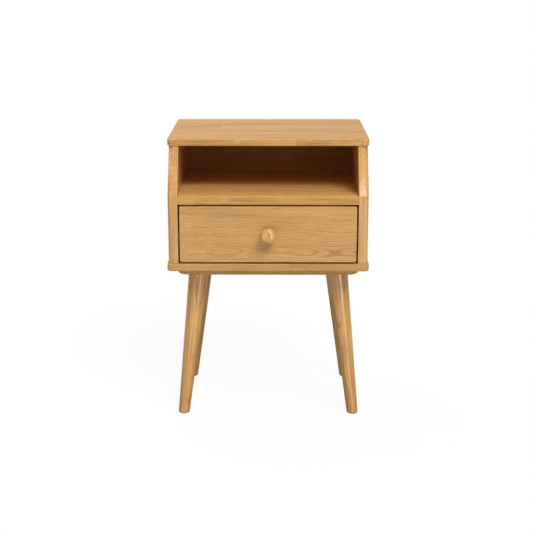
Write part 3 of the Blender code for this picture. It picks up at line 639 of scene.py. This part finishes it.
def knob_shape():
    """A turned knob: a collar and short neck, a flared head and a gently domed face."""
    low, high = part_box("drawer_knob")
    centre = (low + high) / 2
    radius = (high.x - low.x) / 2
    length = high.y - low.y
    collar = KNOB_COLLAR_SHARE * radius
    neck = KNOB_NECK_SHARE * radius
    widest = KNOB_WIDEST_SHARE * length
    bore_depth = high.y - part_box("knob_screw")[0].y + KNOB_SCREW_END_ROOM
    profile = [(KNOB_BORE_RADIUS, bore_depth), (KNOB_BORE_RADIUS, 0.0), (collar, 0.0),
               (collar, KNOB_COLLAR_END), (neck, KNOB_NECK_START), (neck, KNOB_NECK_END)]
    flare_steps = 14
    for step in range(1, flare_steps + 1):
        angle = step / flare_steps * math.pi / 2
        profile.append((neck + (radius - neck) * math.sin(angle),
                        KNOB_NECK_END + (widest - KNOB_NECK_END) * (1 - math.cos(angle))))
    dome_steps = 18
    for step in range(1, dome_steps):
        angle = step / dome_steps * math.pi / 2
        profile.append((radius * math.cos(angle) ** KNOB_DOME_POWER,
                        widest + (length - widest) * math.sin(angle)))
    profile.append((KNOB_TIP_SHARE * radius, length))
    shape = bmesh.new()
    skin(shape, [ring_at(shape, 0, 0, height, ring_radius) for ring_radius, height in profile])
    return point_forward(shape, (centre.x, high.y, centre.z))


def add_knob():
    """The oak knob, with its grain upright."""
    centre = middle("drawer_knob")
    wood = oak(
        "knob", Z, (centre.x - 0.03, centre.y + 0.02, centre.z), ring=0.0040, sway=0.03,
        seed=11.3, lines=0.35, gloss=0.42)
    add_piece("drawer_knob", knob_shape(), wood, "drawer")


def dress_drawer_box():
    """Birch plywood, with each panel's plies counted from its first face."""
    for name, along, across in (("drawer_left_side", Y, X), ("drawer_right_side", Y, X),
                                ("drawer_box_front", X, Y), ("drawer_back", X, Y),
                                ("drawer_bottom", X, Z)):
        dress(name, plywood(name, along, across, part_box(name)[0].dot(across)))


def dress_hardware():
    """Zinc plate on every steel piece, darkened on the slides as painted shade for the gaps beside
    the drawer, and beech dowels.
    """
    # The slides get a darkened zinc as painted shade, so the gaps beside the drawer show no glint.
    finishes = (("_member", zinc("zinc_plate_darkened_as_gap_shade", SLIDE_GAP_SHADE)),
                (("_screw", "_bolt", "_nut"), zinc("zinc_plate")),
                ("top_dowel", beech("upright", Z)),
                ("shelf_dowel", beech("level", X)))
    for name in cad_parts:
        for endings, material in finishes:
            if name.endswith(endings):
                dress(name, material)


def add_floor():
    """A plain floor, near white where it is seen, whose bounced light is kept low and painted as a
    pool round the nightstand.
    """
    bpy.ops.mesh.primitive_plane_add(size=80.0, location=(0, 0, 0))
    floor = bpy.context.object
    floor.name = "floor"
    g = new_material("pale_floor")
    distance = g.vector("LENGTH", g.coordinates("Object"))
    # The colour that bounced light meets is a painted pool of light: dim right under the nightstand,
    # bright in a ring round it, fading far off.
    painted_light_pool = g.product(g.step(distance, 0.4, 1.1, 0.30, 0.78),
                     g.step(distance, 2.2, 3.8, 1.0, 0.15))
    g.feed(g.shader.inputs["Base Color"], g.grey(painted_light_pool))
    g.shader.inputs["Roughness"].default_value = 0.9
    g.shader.inputs["Specular IOR Level"].default_value = 0.0
    glow = g.node("ShaderNodeEmission", {"Color": WHITE, "Strength": 0.90}).outputs[0]
    pale = g.node("ShaderNodeBsdfDiffuse", {"Color": FLOOR_SEEN}).outputs[0]
    seen = g.node("ShaderNodeAddShader", {0: glow, 1: pale}).outputs[0]
    g.camera_choice(g.shader.outputs[0], seen, "Material Output")
    floor.data.materials.append(g.owner)
    floor.visible_shadow = False


def add_surroundings():
    """White where it is seen, but a weaker light that comes from above and from behind."""
    world = bpy.data.worlds.new("studio")
    bpy.context.scene.world = world
    g = Graph(world)
    _, back, up = g.split(g.coordinates("Generated"))
    strength = g.math("ADD", g.step(up, 0.0, 0.7, 0.12, 0.50), g.step(back, -0.1, 0.9, 0.0, 0.12))
    lit = g.node("ShaderNodeBackground", {"Color": WHITE, "Strength": strength}).outputs[0]
    seen = g.node("ShaderNodeBackground", {"Color": WHITE, "Strength": 1.0}).outputs[0]
    g.camera_choice(lit, seen, "World Output")


def add_lamp(name, data, direction_from, strength):
    """A light that shines from a direction."""
    data.energy = strength
    lamp = bpy.data.objects.new(name, data)
    lamp.rotation_euler = Vector(direction_from).to_track_quat("Z", "Y").to_euler()
    bpy.context.collection.objects.link(lamp)
    return lamp


def add_sun(name, direction_from, strength, spread):
    """A broad far light."""
    data = bpy.data.lights.new(name, "SUN")
    data.angle = math.radians(spread)
    add_lamp(name, data, direction_from, strength)


def add_soft_box(name, place, aim, size, strength, on_gloss):
    """A flat light that is never seen, and lights either the gloss or the matt colour."""
    data = bpy.data.lights.new(name, "AREA")
    data.shape = "RECTANGLE"
    data.size, data.size_y = size
    lamp = add_lamp(name, data, Vector(place) - Vector(aim), strength)
    lamp.location = place
    lamp.visible_camera = False
    lamp.visible_diffuse = not on_gloss
    lamp.visible_glossy = on_gloss


def add_light():
    """A key from the upper right front, a broad light over the back, strips and a low fill."""
    add_surroundings()
    add_sun("key", *KEY_SUN)
    add_sun("over_back", *BACK_SUN)
    x, y, z = STRIP_PLACE
    add_soft_box("left_strip", (-x, y, z), (0, 0, z), STRIP_SIZE, LEFT_STRIP_STRENGTH, True)
    add_soft_box("right_strip", (x, y, z), (0, 0, z), STRIP_SIZE, RIGHT_STRIP_STRENGTH, True)
    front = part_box("base_panel")[0].y
    add_soft_box("low_fill", (FILL_SIDE, front - FILL_DISTANCE, FILL_HEIGHT),
                 (FILL_SIDE, front, FILL_AIM_HEIGHT), FILL_SIZE, FILL_STRENGTH, False)
    bpy.context.scene.view_settings.view_transform = "Standard"


def add_camera():
    """A long lens a little right of centre, looking down on the nightstand."""
    data = bpy.data.cameras.new("camera")
    data.sensor_width = SENSOR_WIDTH
    data.lens = LENS
    camera = bpy.data.objects.new("camera", data)
    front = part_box("base_panel")[0].y
    camera.location = (CAMERA_SIDE, front - CAMERA_DISTANCE, CAMERA_HEIGHT)
    camera.rotation_euler = Euler((math.pi / 2 - CAMERA_PITCH, 0, CAMERA_YAW), "XYZ")
    bpy.context.collection.objects.link(camera)
    bpy.context.scene.camera = camera


woods = case_woods()
for node, wood in woods.items():
    dress(node, wood)
add_slabs(woods)
add_sides(woods)
add_legs()
add_drawer_front()
add_knob()
dress_drawer_box()
dress_hardware()
add_floor()
add_light()
add_camera()
